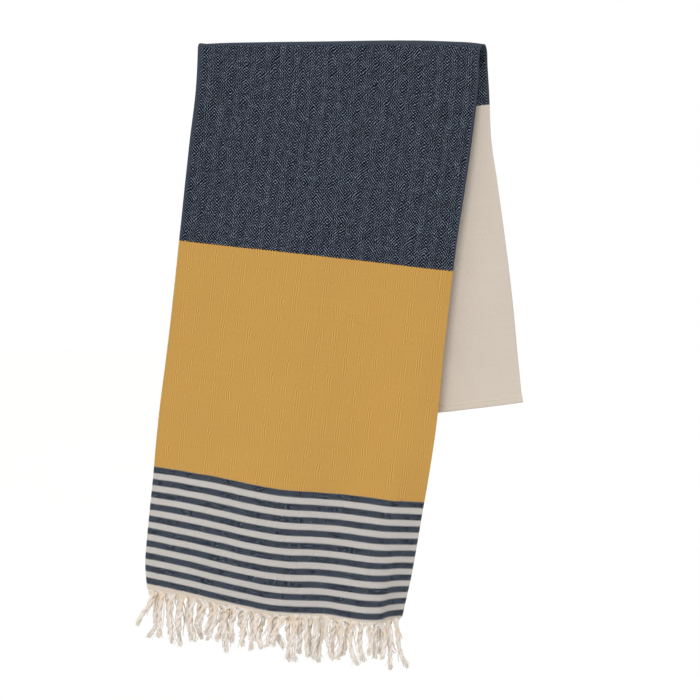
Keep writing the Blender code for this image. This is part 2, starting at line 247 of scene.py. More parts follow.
# ---------------------------------------------------------------- settings
class TowelClothSettings(bpy.types.PropertyGroup):
    """Sizes and colours of the woven cloth"""

    half_width: FloatProperty(
        name="Folded width", description="Half of the woven width", default=0.500,
        min=0.3, max=0.8, unit="LENGTH")
    back_length: FloatProperty(
        name="Back length", description="Top of the rail to the hemmed end", default=0.721,
        min=0.3, max=1.2, unit="LENGTH")
    thickness: FloatProperty(
        name="Thickness", description="Thickness of one layer", default=0.0010,
        min=0.0005, max=0.003, unit="LENGTH")
    hem_depth: FloatProperty(
        name="Hem depth", description="Depth of the turned and sewn end", default=0.012,
        min=0.005, max=0.04, unit="LENGTH")
    navy_behind: FloatProperty(
        name="Navy behind", description="How far the navy block runs down the back",
        default=0.175, min=0.0, max=0.6, unit="LENGTH")
    navy_front: FloatProperty(
        name="Navy in front", description="Where the navy block ends in front",
        default=0.3685, min=0.1, max=0.9, unit="LENGTH")
    mustard_end: FloatProperty(
        name="Mustard end", description="Where mustard ends and the stripes start",
        default=0.7793, min=0.2, max=0.95, unit="LENGTH")
    stripes: IntProperty(
        name="Stripes", description="Number of navy stripes", default=10, min=1, max=16)
    stripe_pitch: FloatProperty(
        name="Stripe pitch", description="From one stripe to the next", default=0.02237,
        min=0.01, max=0.05, unit="LENGTH")
    stripe_width: FloatProperty(
        name="Stripe width", description="Width of a navy stripe", default=0.0115,
        min=0.004, max=0.03, unit="LENGTH")
    navy: FloatVectorProperty(
        name="Navy", description="Weft of the navy block and stripes", subtype="COLOR",
        size=3, min=0.0, max=1.0, default=linear("#060C17"))
    navy_light: FloatVectorProperty(
        name="Navy, light float", description="Threads that float over the navy weft",
        subtype="COLOR", size=3, min=0.0, max=1.0, default=linear("#747E8D"))
    mustard: FloatVectorProperty(
        name="Mustard", description="Weft of the mustard block", subtype="COLOR",
        size=3, min=0.0, max=1.0, default=linear("#C59850"))
    stripe_cream: FloatVectorProperty(
        name="Cream of the stripes", description="Cotton between the navy stripes",
        subtype="COLOR", size=3, min=0.0, max=1.0, default=linear("#BFBAB5"))
    cream: FloatVectorProperty(
        name="Cream", description="Undyed cotton", subtype="COLOR",
        size=3, min=0.0, max=1.0, default=linear("#D2C6B9"))


class TowelFringeSettings(bpy.types.PropertyGroup):
    """Sizes and colours of the fringe"""

    ply_radius: FloatProperty(
        name="Ply radius", description="Radius of one of a strand's two plies",
        default=0.0026, min=0.0008, max=0.004, unit="LENGTH")
    lay: FloatProperty(
        name="Lay", description="Length of one full turn of the twist", default=0.034,
        min=0.008, max=0.08, unit="LENGTH")
    knot: FloatProperty(
        name="Knot", description="Half width of a knot", default=0.0056,
        min=0.002, max=0.008, unit="LENGTH")
    cream: FloatVectorProperty(
        name="Cream", description="Undyed cotton of the strands", subtype="COLOR",
        size=3, min=0.0, max=1.0, default=linear("#EFE6DD"))
    # painted light: the orange tint of light bounced between the yarns where they crowd at
    # the roots
    bounce_lit_cream: FloatVectorProperty(
        name="Warm cream", description="Cotton in the crowded roots", subtype="COLOR",
        size=3, min=0.0, max=1.0, default=linear("#EBDAC4"))


class TowelStageSettings(bpy.types.PropertyGroup):
    """Floor and light"""

    floor: FloatVectorProperty(
        name="Floor", description="Colour of the floor", subtype="COLOR",
        size=3, min=0.0, max=1.0, default=linear("#FBFBFA"))
    room: FloatProperty(
        name="Room light", description="Even light that a white room throws on the towel",
        default=0.42, min=0.0, max=4.0)
    key: FloatProperty(
        name="Key light", description="Strength of the large soft light in front, left",
        default=1.9, min=0.0, max=20.0)
    back: FloatProperty(
        name="Back light", description="Strength of the soft light behind", default=0.8,
        min=0.0, max=20.0)


# ---------------------------------------------------------------- curves and surface
def cubic(u, gap, start, end, leaving, arriving):
    """Cubic from start to end as u goes from 0 to 1 over a gap, with the slopes by which
    it leaves and arrives."""
    return ((2 * u**3 - 3 * u**2 + 1) * start + (u**3 - 2 * u**2 + u) * gap * leaving
            + (3 * u**2 - 2 * u**3) * end + (u**3 - u**2) * gap * arriving)


def through(where, knots, values):
    """Smooth curve through values at knots: cubic pieces with weighted middle slopes."""
    knots = np.asarray(knots, float)
    values = np.asarray(values, float)
    gaps = np.diff(knots)
    column = (-1,) + (1,) * (values.ndim - 1)
    slopes = np.diff(values, axis=0) / gaps.reshape(column)
    share = (gaps[1:] / (gaps[1:] + gaps[:-1])).reshape(column)
    middle = slopes[:-1] * share + slopes[1:] * (1 - share)
    tangents = np.concatenate([slopes[:1], middle, slopes[-1:]])
    cell = np.clip(np.searchsorted(knots, where) - 1, 0, len(gaps) - 1)
    shape = np.shape(where) + (1,) * (values.ndim - 1)
    width = gaps[cell].reshape(shape)
    u = ((where - knots[cell]).reshape(shape)) / width
    return cubic(u, width, values[cell], values[cell + 1], tangents[cell],
                 tangents[cell + 1])


def grown(drop, stations, columns):
    """Blend the columns of a fold table down the panel, from nothing at the rail."""
    knots = np.concatenate([[0.0], stations])
    start = np.zeros_like(columns[..., :1])
    values = np.concatenate([start, columns], axis=-1)
    gaps = np.diff(knots)
    slopes = np.diff(values, axis=-1) / gaps
    tangents = [start[..., 0]]
    for k in range(len(gaps) - 1):
        share = gaps[k + 1] / (gaps[k] + gaps[k + 1])
        tangents.append(slopes[..., k] * share + slopes[..., k + 1] * (1 - share))
    tangents.append(slopes[..., -1])
    depth = np.clip(drop, knots[0], None)
    result = np.zeros_like(depth)
    for k, gap in enumerate(gaps):
        u = (depth - knots[k]) / gap
        stretch = cubic(u, gap, values[..., k], values[..., k + 1], tangents[k],
                        tangents[k + 1])
        result = np.where(depth >= knots[k], stretch, result)
    return result


def forward(across, drop):
    """How far the cloth stands towards the viewer of a flat hang, at across and drop."""
    front = np.array(FRONT_FOLDS)
    back = np.array(BACK_FOLDS)
    swing = np.array(FOLDED_SIDE_SWING)[1:]
    front_columns = through(across, front[:, 0], front[:, 1:] + swing)
    back_columns = through(across, back[:, 0], back[:, 1:])
    return np.where(drop > 0, grown(drop, FRONT_DROPS, front_columns),
                    grown(-drop, BACK_DROPS, back_columns))


def share_across(across, drop, width):
    """Share of the straight width used up at across, as waves take up more cloth: the
    running sum of the root of one less the wave's slope squared."""
    samples = np.linspace(0.0, width, WIDTH_PARTS + 1)
    grid = np.broadcast_to(samples, across.shape + samples.shape)
    depth = forward(grid, np.broadcast_to(drop[..., None], grid.shape))
    slope = np.gradient(depth, samples[1], axis=-1)
    run = np.sqrt(np.maximum(LEAST_STRETCH, 1 - slope**2))
    total = np.cumsum((run[..., 1:] + run[..., :-1]) / 2, axis=-1)
    total = np.concatenate([np.zeros(across.shape + (1,)), total], axis=-1)
    place = across / width * WIDTH_PARTS
    cell = np.clip(place.astype(int), 0, WIDTH_PARTS - 1)
    rest = place - cell
    low = np.take_along_axis(total, cell[..., None], -1)[..., 0]
    high = np.take_along_axis(total, cell[..., None] + 1, -1)[..., 0]
    return (low * (1 - rest) + high * rest) / total[..., -1]


def smooth(value, low, high):
    """Soft step from 0 at low to 1 at high."""
    u = np.clip((value - low) / (high - low), 0, 1)
    return u * u * (3 - 2 * u)


def slack(across, along, drop):
    """Small relief of the cloth: a sum of sine ripples, and creases that are bell-shaped
    across their line and fade at its two ends. It fades to nothing over the rail."""
    relief = np.zeros_like(across)
    for height, waves_across, waves_along, start in RIPPLES:
        sway = 1.3 * np.sin(5 * along + start)
        relief += height * np.sin(
            2 * math.pi * (waves_across * across + waves_along * along) + start + sway)
    for a0, l0, a1, l1, half, height in CREASES:
        step = np.array([a1 - a0, l1 - l0])
        length = np.hypot(*step)
        step /= length
        way = (across - a0) * step[0] + (along - l0) * step[1]
        off = (across - a0) * step[1] - (along - l0) * step[0]
        bend = half * 0.8 * np.sin(3 * way / length + 9 * a0)
        fade = smooth(way, 0, length * 0.35) * (1 - smooth(way, length * 0.65, length))
        relief += height * fade * np.exp(-((off - bend) / half) ** 2)
    return relief * smooth(np.abs(drop), QUARTER_TURN, FULL_RELIEF_DROP)


def middle_sheet(across, along, width):
    """Points half-way between the two layers on a grid whose rows run across the strip,
    with the unit normal, the unit direction across and the drop. The strip crosses the
    rail at SKEW: drop = across sin + along cos. Round the rail a point stands on an arc of
    FOLD_RADIUS, and past its quarter turns it hangs straight down, less its fold."""
    across, along = np.broadcast_arrays(across, along)
    drop = across * math.sin(SKEW) + along * math.cos(SKEW)
    sides = np.array(SIDES)
    edges = through(drop, sides[:, 0], sides[:, 1:])
    x = edges[..., 0] + (edges[..., 1] - edges[..., 0]) * share_across(across, drop, width)
    turn = np.clip(drop / FOLD_RADIUS, -math.pi / 2, math.pi / 2)
    hang = np.maximum(np.abs(drop) - QUARTER_TURN, 0)
    sag = np.array(FOLD_SAG)
    rise = FOLD_RADIUS - through(across, sag[:, 0], sag[:, 1])
    y = -FOLD_RADIUS * np.sin(turn) - forward(across, drop)
    z = -RAIL_RADIUS + rise * np.cos(turn) - hang
    points = np.stack([x, y, z], axis=-1)
    side = unit(np.gradient(points, axis=1))
    down = np.gradient(points, axis=0)
    out = unit(np.cross(down, side))
    points = points + slack(across, along, drop)[..., None] * out
    return points, out, side, drop


def woven_rows(across, rows):
    """Place along the strip of each row at each place across: rows past WEFT_END are
    drawn up to where the weft stops, on a ragged edge with waves of 10 and 4 cm."""
    picks = np.array(LAST_PICKS)
    left = through(across, picks[:, 0], picks[:, 1])
    ragged = 1 + 0.10 * np.sin(61 * across) + 0.07 * np.sin(143 * across + 1)
    share = left * ragged / (FRINGE_START - WEFT_END)
    rows = rows[:, None]
    return np.where(rows > WEFT_END, WEFT_END + (rows - WEFT_END) * share, rows)


def unit(vectors):
    """The same directions, one long."""
    return vectors / np.maximum(np.linalg.norm(vectors, axis=-1, keepdims=True), 1e-12)


# ---------------------------------------------------------------- meshes
def new_piece(name, points, faces, uvs, flat=()):
    """Mesh object from points, face arrays (one array of corner numbers for each face
    size) and, for each face array, its corners' places on the UV map."""
    mesh = bpy.data.meshes.new(name)
    points = np.asarray(points, np.float32).reshape(-1, 3)
    mesh.vertices.add(len(points))
    mesh.vertices.foreach_set("co", points.ravel())
    sizes = np.concatenate([np.full(len(f), f.shape[1]) for f in faces]).astype(np.int32)
    corners = np.concatenate([f.ravel() for f in faces]).astype(np.int32)
    mesh.loops.add(len(corners))
    mesh.loops.foreach_set("vertex_index", corners)
    mesh.polygons.add(len(sizes))
    starts = np.concatenate([[0], np.cumsum(sizes)[:-1]]).astype(np.int32)
    mesh.polygons.foreach_set("loop_start", starts)
    level = np.concatenate([np.full(len(f), k not in flat) for k, f in enumerate(faces)])
    mesh.polygons.foreach_set("use_smooth", level)
    layer = mesh.uv_layers.new(name="woven")
    flat_uv = np.concatenate([u.reshape(-1, 2) for u in uvs]).astype(np.float32)
    layer.data.foreach_set("uv", flat_uv.ravel())
    mesh.update(calc_edges=True)
    if mesh.validate():
        raise RuntimeError(f"{name}: the mesh had faults")
    item = bpy.data.objects.new(name, mesh)
    bpy.context.scene.collection.objects.link(item)
    return item


def grid_faces(rows, columns, closed):
    """Corner numbers of the quads of a grid, the last column joined to the first if
    closed."""
    wide = columns if closed else columns - 1
    r, c = np.meshgrid(np.arange(rows - 1), np.arange(wide), indexing="ij")
    near, far = r * columns + c, r * columns + (c + 1) % columns
    return np.stack([near, far, far + columns, near + columns], axis=-1).reshape(-1, 4)


def tubes(paths, radii, sides, hint, closed=False):
    """Round tubes along many paths at once: at each step a ring of points at radius from
    the path, square to it. paths is (tubes, steps, 3), radii (tubes, steps) and hint a
    direction that no path follows. Returns points, quads, end caps and UV places."""
    count, steps, _ = paths.shape
    if closed:
        tangent = unit(np.roll(paths, -1, axis=1) - np.roll(paths, 1, axis=1))
    else:
        tangent = unit(np.gradient(paths, axis=1))
    first = unit(np.cross(tangent, hint))
    second = np.cross(tangent, first)
    angle = 2 * math.pi * np.arange(sides) / sides
    ring = (np.cos(angle)[:, None] * first[:, :, None]
            + np.sin(angle)[:, None] * second[:, :, None])
    points = paths[:, :, None] + radii[:, :, None, None] * ring
    base = (np.arange(count) * steps * sides)[:, None, None]
    last = steps if closed else steps - 1
    s, c = np.meshgrid(np.arange(last), np.arange(sides), indexing="ij")
    s2, c2 = (s + 1) % steps, (c + 1) % sides
    quads = np.stack([s * sides + c, s * sides + c2, s2 * sides + c2, s2 * sides + c],
                     axis=-1).reshape(1, -1, 4) + base
    length = np.linalg.norm(np.diff(paths, axis=1), axis=-1)
    run = np.concatenate([np.zeros((count, 1)), np.cumsum(length, axis=1)], axis=1)
    around = 2 * math.pi * radii.mean(axis=1) / sides
    v0, v1 = run[:, s % steps], run[:, np.minimum(s + 1, steps - 1)]
    u0, u1 = around[:, None, None] * c, around[:, None, None] * (c + 1)
    uv = np.stack([np.stack([u0, v0], -1), np.stack([u1, v0], -1),
                   np.stack([u1, v1], -1), np.stack([u0, v1], -1)], axis=-2)
    caps = np.zeros((0, sides), int)
    if not closed:
        c = np.arange(sides)
        caps = np.concatenate([base[:, 0] + c[::-1], base[:, 0] + (steps - 1) * sides + c])
    return points.reshape(-1, 3), quads.reshape(-1, 4), caps, uv.reshape(-1, 4, 2)


# ---------------------------------------------------------------- materials
def add_node(tree, kind, inputs=(), out=0, **settings):
    """Add a shader node, set it up, and fill its inputs: a number or colour is set and a
    socket is linked. Returns the output socket that out names."""
    made = tree.nodes.new("ShaderNode" + kind)
    for name, value in settings.items():
        setattr(made, name, value)
    pairs = inputs.items() if isinstance(inputs, dict) else enumerate(inputs)
    for place, value in pairs:
        if isinstance(value, bpy.types.NodeSocket):
            tree.links.new(value, made.inputs[place])
        elif value is not None:
            made.inputs[place].default_value = value
    return made.outputs[out]


def new_material(name, roughness, sheen):
    """Material with a shader of even cotton finish; returns it, its tree and shader."""
    material = bpy.data.materials.new(name)
    material.use_nodes = True
    tree = material.node_tree
    shader = tree.nodes["Principled BSDF"]
    shader.inputs["Roughness"].default_value = roughness
    shader.inputs["IOR"].default_value = 1.5
    shader.inputs["Specular IOR Level"].default_value = 0.06
    shader.inputs["Sheen Weight"].default_value = sheen
    shader.inputs["Sheen Roughness"].default_value = 0.55
    return material, tree, shader


# Thread spacing of the cloth: 1.22 mm between warp threads, 1.40 mm between weft picks. The
# herringbone turns after every ten or eleven warp threads, so it repeats every 26 mm.
WARP_PITCH = 0.00122
WEFT_PITCH = 0.00140
COLUMN_THREADS = 10.5
SLACK_WARP = 4.0 * WARP_PITCH  # what the whole range of the patches would bend threads by
SLACK_WEFT = 3.0 * WEFT_PITCH
RIB_START, RIB_END = 3.0, 6.5  # threads from a turn, where its rib starts to fade and ends
RIB_LINE = 3.2                 # threads from one upright line of a rib to the next
BAND_WANDER = 0.0030           # how far the clouds shift the end of a band
BAND_STEP = 0.0018             # how far a float carries it on
BAND_SHIFT = 0.0021            # about the mean of both, which is taken off again
STRIPE_EDGE = 0.0005           # half of the width over which a stripe's edge fades
# How far off the rail's line and off the folded side floats start to show and all show;
# off the folded side they all show further out at the rail than at the navy's end.
RAIL_PLAIN, RAIL_CLEAR = 0.0155, 0.0190
FOLD_PLAIN, FOLD_CLEAR, FOLD_CLEAR_LOW = 0.0050, 0.0135, 0.0085


def herringbone(add, place, patch):
    """The weave. Threads are counted from the folded side and picks from the rail, and
    slack yarn bends both by up to a thread. Returns how far a thread floats, how much
    light its yarn catches, the upright lines of the turns, and their ribs."""
    bend = add("Math", (patch, 0.5), operation="SUBTRACT")
    bend = add("CombineXYZ", {"X": bend, "Y": bend})
    bend = add("VectorMath", (bend, (SLACK_WARP, SLACK_WEFT, 0.0), place),
               operation="MULTIPLY_ADD")
    threads = add("VectorMath", (bend, (WARP_PITCH, WEFT_PITCH, 1.0)), operation="DIVIDE")
    warp_place = add("SeparateXYZ", (threads,), out=0)
    weft_place = add("SeparateXYZ", (threads,), out=1)
    zigzag = add("Math", (warp_place, COLUMN_THREADS), operation="PINGPONG")
    # The herringbone: a float on one pick in four, a pick further on each thread, up to
    # the turn and back down. Its lines are drawn soft, because threads this fine with hard
    # edges are lost in a picture taken from 1.7 m off. Uneven yarn lights some floats.
    # Where the yarns lie loose, the twill that runs the other way shows through, and the
    # herringbone turns into small checks.
    waves = []
    for way in (1.0, -1.0):
        twill = add("Math", (zigzag, way, weft_place), operation="MULTIPLY_ADD")
        twill = add("Math", (twill, math.pi / 2), operation="MULTIPLY")
        waves.append(add("Math", (twill,), operation="COSINE"))
    loose = add("TexNoise", {"Vector": place, "Scale": 75.0, "Detail": 1.0},
                noise_dimensions="2D")
    loose = add("MapRange", {
        "Value": loose, "From Min": 0.35, "From Max": 0.65, "To Min": 0.1, "To Max": 0.8})
    twill = add("Mix", {0: loose, 2: waves[0], 3: waves[1]}, data_type="FLOAT")
    floating = add("MapRange", {"Value": twill, "From Min": 0.2, "From Max": 0.85},
                   clamp=True)
    chance = add("TexNoise", {"Vector": place, "Scale": 560.0, "Detail": 0.0},
                 noise_dimensions="2D")
    spark = add("MapRange", {
        "Value": chance, "From Min": 0.25, "From Max": 0.75, "To Min": 0.35,
        "To Max": 1.65})
    # The rib of a turn: fine upright lines 4 mm apart, in step with the herringbone and
    # three times as wide as the real threads so that they show. On the plain colours they
    # come in dashes of about 15 mm. Where the colours use them, the lines are painted
    # lighter:
    # partly the pale warp of their longer floats, partly a painted highlight of the rib
    # catching the light.
    near_turn = add("MapRange", {
        "Value": zigzag, "From Min": RIB_START, "From Max": RIB_END, "To Min": 1.0,
        "To Max": 0.0})
    lines = add("Math", (zigzag, 2 * math.pi / RIB_LINE), operation="MULTIPLY")
    lines = add("Math", (lines,), operation="COSINE")
    broken = add("MapRange", {"Value": patch, "From Min": 0.42, "From Max": 0.54})
    upright = add("Math", (near_turn, lines), operation="MULTIPLY")
    lit = add("Math", (floating, spark), operation="MULTIPLY")
    lit = add("Math", (upright, 0.20, lit), operation="MULTIPLY_ADD")
    rib = add("Math", (upright, broken), operation="MULTIPLY")
    return floating, lit, upright, rib


def block_ends(add, cloth, v, cloud, floating):
    """Where each block of colour has begun, and where a navy stripe lies. A block ends on
    a pick, so its edge is stepped by the floats."""
    wander = add("Math", (cloud, BAND_WANDER, v), operation="MULTIPLY_ADD")
    band = add("Math", (floating, BAND_STEP, wander), operation="MULTIPLY_ADD")
    band = add("Math", (band, BAND_SHIFT), operation="SUBTRACT")
    last_stripe = (cloth.mustard_end + cloth.stripe_pitch * (cloth.stripes - 1)
                   + cloth.stripe_width)
    after = [add("Math", (band, end), operation="GREATER_THAN") for end in (
        -cloth.navy_behind, cloth.navy_front, cloth.mustard_end, last_stripe + 0.001)]
    # a stripe reaches half its width to both sides of its middle; its edge fades over 1 mm
    half_stripe = cloth.stripe_width / 2
    off_middle = add("Math", (band, cloth.mustard_end + half_stripe), operation="SUBTRACT")
    off_middle = add("Math", (off_middle, cloth.stripe_pitch / 2), operation="PINGPONG")
    on_stripe = add("MapRange", {
        "Value": off_middle, "From Min": half_stripe - STRIPE_EDGE,
        "From Max": half_stripe + STRIPE_EDGE, "To Min": 1.0, "To Max": 0.0})
    return after, on_stripe


def unpressed(add, cloth, across, v):
    """Where the navy shows its floats: not over the rail nor down the folded side, where
    the cloth is pressed flat, nor along the plain selvedge."""
    over_rail = add("Math", (across, math.tan(SKEW), v), operation="MULTIPLY_ADD")
    over_rail = add("Math", (over_rail,), operation="ABSOLUTE")
    off_rail = add("MapRange", {
        "Value": over_rail, "From Min": RAIL_PLAIN, "From Max": RAIL_CLEAR,
        "To Min": 0.12})
    fold_width = add("MapRange", {
        "Value": v, "From Min": 0.0, "From Max": 0.37, "To Min": FOLD_CLEAR,
        "To Max": FOLD_CLEAR_LOW})
    off_fold = add("MapRange", {
        "Value": across, "From Min": FOLD_PLAIN, "From Max": fold_width, "To Min": 0.10})
    off_edge = add("Math", (across, cloth.half_width + 0.001), operation="LESS_THAN")
    shows = add("Math", (off_rail, off_fold), operation="MULTIPLY")
    shows = add("Math", (shows, off_edge), operation="MULTIPLY")
    return shows


def stripe_speckle(add, place, patch, striped, shows):
    """How strongly floats show, and the speckle of the stripes, where they show in places
    only: dots of about 5 by 3 mm, several times as wide as the real ones, so that they
    show."""
    faint = add("MapRange", {
        "Value": patch, "From Min": 0.44, "From Max": 0.52, "To Min": 0.15, "To Max": 0.8})
    strength = add("Mix", {0: striped, 2: 1.0, 3: faint}, data_type="FLOAT")
    strength = add("Math", (strength, shows), operation="MULTIPLY")
    dots = add("Mapping", {"Vector": place, "Scale": (210.0, 330.0, 1.0)})
    dots = add("TexNoise", {"Vector": dots, "Scale": 1.0, "Detail": 0.0},
               noise_dimensions="2D")
    dots = add("MapRange", {
        "Value": dots, "From Min": 0.35, "From Max": 0.65, "To Min": -1.0, "To Max": 1.0})
    speckled = add("Math", (dots, striped), operation="MULTIPLY")
    speckled = add("Math", (speckled, faint), operation="MULTIPLY")
    return strength, speckled


def cloth_material(cloth):
    """Flat-woven cotton, yarn-dyed: a matt surface with a soft sheen. The weft covers the
    warp, and pale warp floats show on navy as a fine herringbone. Where the herringbone
    turns, its longer floats make a rib, which shows on the plainer colours too, painted
    lighter: partly its pale floats, partly a painted highlight of the rib catching the
    light."""
    material, tree, shader = new_material("flat-woven cotton", 0.92, 0.04)
    add = functools.partial(add_node, tree)
    place = add("UVMap", uv_map="woven")
    u = add("SeparateXYZ", (place,), out=0)
    v = add("SeparateXYZ", (place,), out=1)
    across = add("Math", (u,), operation="ABSOLUTE")

    # uneven yarn: streaks along the weft, patches and broad clouds
    streak_place = add("Mapping", {"Vector": place, "Scale": (5.0, 500.0, 1.0)})
    streak = add("TexNoise", {"Vector": streak_place, "Scale": 1.0, "Detail": 2.0},
                 noise_dimensions="2D")
    patch = add("TexNoise", {"Vector": place, "Scale": 45.0, "Detail": 1.0},
                noise_dimensions="2D")
    cloud = add("TexNoise", {"Vector": place, "Scale": 7.0, "Detail": 2.0},
                noise_dimensions="2D")

    floating, lit, upright, rib = herringbone(add, place, patch)
    after, on_stripe = block_ends(add, cloth, v, cloud, floating)
    shows = unpressed(add, cloth, across, v)
    strength, speckled = stripe_speckle(add, place, patch, after[2], shows)

    # colours of each block; the plain navy is what its floats and weft come to together
    plain = tuple(a + 0.26 * b for a, b in zip(cloth.navy, cloth.navy_light))
    showing = add("Math", (speckled, lit, lit), operation="MULTIPLY_ADD")
    light = add("VectorMath", {0: tuple(cloth.navy_light), 3: showing}, operation="SCALE")
    floats = add("VectorMath", (tuple(cloth.navy), light), operation="ADD")
    navy = add("Mix", {0: strength, 6: (*plain, 1.0), 7: floats}, out=2, data_type="RGBA")
    # Mustard is painted lighter on its floats, for their pale warp, and on its ribs, a
    # painted highlight of the ribs catching the light; cream is lighter on its ribs only, a
    # painted highlight.
    relief = add("Math", (lit, 0.07, 0.965), operation="MULTIPLY_ADD")
    relief = add("Math", (rib, 0.24, relief), operation="MULTIPLY_ADD")
    cream_rib_highlight = add("Math", (rib, 0.03, 1.0), operation="MULTIPLY_ADD")
    mustard = add("VectorMath", {0: tuple(cloth.mustard), 3: relief}, operation="SCALE")
    cream = add("VectorMath", {0: tuple(cloth.cream), 3: cream_rib_highlight}, operation="SCALE")
    # The stripes' cream is lighter on its floats and speckle, for the pale warp, and on the
    # ribs, a painted highlight.
    grain_and_rib_highlight = add("Math", (lit, 0.30, 0.945), operation="MULTIPLY_ADD")
    grain_and_rib_highlight = add("Math", (upright, 0.12, grain_and_rib_highlight), operation="MULTIPLY_ADD")
    grain_and_rib_highlight = add("Math", (speckled, 0.06, grain_and_rib_highlight), operation="MULTIPLY_ADD")
    greyer = add("VectorMath", {0: tuple(cloth.stripe_cream), 3: grain_and_rib_highlight},
                 operation="SCALE")
    striped = add("Mix", {0: on_stripe, 6: greyer, 7: navy}, out=2, data_type="RGBA")
    colour = cream
    for begins, block in zip(after, (navy, mustard, striped, cream)):
        colour = add("Mix", {0: begins, 6: colour, 7: block}, out=2, data_type="RGBA")
    tone = add("Math", (streak, 0.07, 0.965), operation="MULTIPLY_ADD")
    tone = add("Math", (cloud, 0.06, tone), operation="MULTIPLY_ADD")
    tone = add("Math", (tone, 0.03), operation="SUBTRACT")
    colour = add("VectorMath", {0: colour, 3: tone}, operation="SCALE")
    tree.links.new(colour, shader.inputs["Base Color"])

    # height: the floats and ribs stand above the ground of the cloth
    height = add("Math", (rib, 0.5, floating), operation="MULTIPLY_ADD")
    bump = add("Bump", {"Strength": 0.5, "Distance": 0.00022, "Height": height})
    tree.links.new(bump, shader.inputs["Normal"])
    return material


def fringe_material(fringe):
    """Undyed cotton warp ends, twisted by hand: matt and fuzzy, with a fine slanting grain.
    In patches, and most where they crowd together at the roots, an orange tint is painted
    into the colour: painted light, bounced between the crowded yarns."""
    material, tree, shader = new_material("twisted undyed cotton", 0.95, 0.25)
    add = functools.partial(add_node, tree)
    place = add("UVMap", uv_map="woven")
    down = add("SeparateXYZ", (place,), out=1)
    # The fibres lie at a slant, 0.9 mm apart, coarser than real ones so that they show.
    grain = add("Mapping", {
        "Vector": place, "Rotation": (0.0, 0.0, math.radians(38.0)),
        "Scale": (1100.0, 140.0, 1.0)})
    fibre = add("TexNoise", {"Vector": grain, "Scale": 1.0, "Detail": 3.0},
                noise_dimensions="2D")
    body = add("TexCoord", out=3)
    patch = add("TexNoise", {"Vector": body, "Scale": 75.0, "Detail": 1.0})
    # painted bounce light: strongest at the roots, where the yarns crowd, and in patches
    crowded = add("MapRange", {
        "Value": down, "From Min": 0.012, "From Max": 0.045, "To Min": 1.0, "To Max": 0.25})
    patchy = add("MapRange", {
        "Value": patch, "From Min": 0.42, "From Max": 0.62, "To Min": 0.05, "To Max": 1.0})
    share = add("Math", (crowded, patchy), operation="MULTIPLY")
    bounce_lit_cream = add("Mix", {0: share, 6: (*fringe.cream, 1.0), 7: (*fringe.bounce_lit_cream, 1.0)}, out=2,
               data_type="RGBA")
    tone = add("MapRange", {
        "Value": fibre, "From Min": 0.3, "From Max": 0.7, "To Min": 0.86, "To Max": 1.05})
    colour = add("VectorMath", {0: bounce_lit_cream, 3: tone}, operation="SCALE")
    tree.links.new(colour, shader.inputs["Base Color"])
    bump = add("Bump", {"Strength": 0.6, "Distance": 0.0004, "Height": fibre})
    tree.links.new(bump, shader.inputs["Normal"])
    return material


def thread_material(cloth):
    """Cotton sewing thread, undyed: smoother and a touch glossier than the cloth."""
    material, tree, shader = new_material("cotton sewing thread", 0.7, 0.1)
    add = functools.partial(add_node, tree)
    place = add("TexCoord", out=3)
    ply = add("TexNoise", {"Vector": place, "Scale": 2500.0, "Detail": 1.0})
    tone = add("MapRange", {
        "Value": ply, "From Min": 0.3, "From Max": 0.7, "To Min": 0.86, "To Max": 1.0})
    colour = add("Mix", {0: 1.0, 6: (*cloth.cream, 1.0), 7: tone}, out=2,
                 data_type="RGBA", blend_type="MULTIPLY")
    tree.links.new(colour, shader.inputs["Base Color"])
    return material


# ---------------------------------------------------------------- cloth
# Steps from the hemmed end, in metres: close together at its edge and at its seam.
HEM_STEPS = (0.0, 0.0004, 0.0012, 0.0030, 0.0060, 0.0085, 0.0096, 0.0102, 0.0108, 0.0114,
             0.0120, 0.0127, 0.0136, 0.0150)


def cloth_rows(cloth):
    """Steps down the strip, from the hemmed end to the fringe: close at the hem and over
    the rail, wider down the panels."""
    reach = QUARTER_TURN / math.cos(SKEW)
    return np.concatenate([
        -cloth.back_length + np.array(HEM_STEPS),
        np.linspace(-cloth.back_length + 0.018, -reach - 0.060, 62),
        np.linspace(-reach - 0.054, reach + 0.004, 34),
        np.linspace(reach + 0.010, FRINGE_START - 0.004, 104),
        FRINGE_START - np.array([0.0020, 0.0005, 0.0])])


def layer_sizes(across, along, cloth):
    """Air between the layers and thickness of each, on the grid: the layers part a little
    at the folded side, in a soft loop, and at the open side; the hem is a thick turned
    end that its stitches pull in, and both ends are rounded off."""
    across, along = np.broadcast_arrays(across, along)
    loop = LOOP_AIR - LOOP_LOSS * smooth(np.abs(along), 0.05, 0.50)
    air = (AIR + AIR_GAIN * (1 + np.sin(23 * across + 7 * along)) / 2
           + loop * np.exp(-(across / LOOP_REACH) ** 2)
           + OPEN_AIR * smooth(across, cloth.half_width - 0.03, cloth.half_width)
           * smooth(along, 0.10, 0.9))
    from_end = along + cloth.back_length
    hem = 1 - smooth(from_end, cloth.hem_depth - 0.0010, cloth.hem_depth + 0.0016)
    pull = np.exp(-((from_end - cloth.hem_depth + SEAM_INSET) / SEAM_REACH) ** 2)
    thick = cloth.thickness + HEM_GAIN * hem - SEAM_PULL * pull
    ends = np.minimum(from_end, woven_rows(across[0], np.array([FRINGE_START])) - along)
    return air, thick * (0.45 + 0.55 * smooth(ends, 0.0, END_ROUNDING))


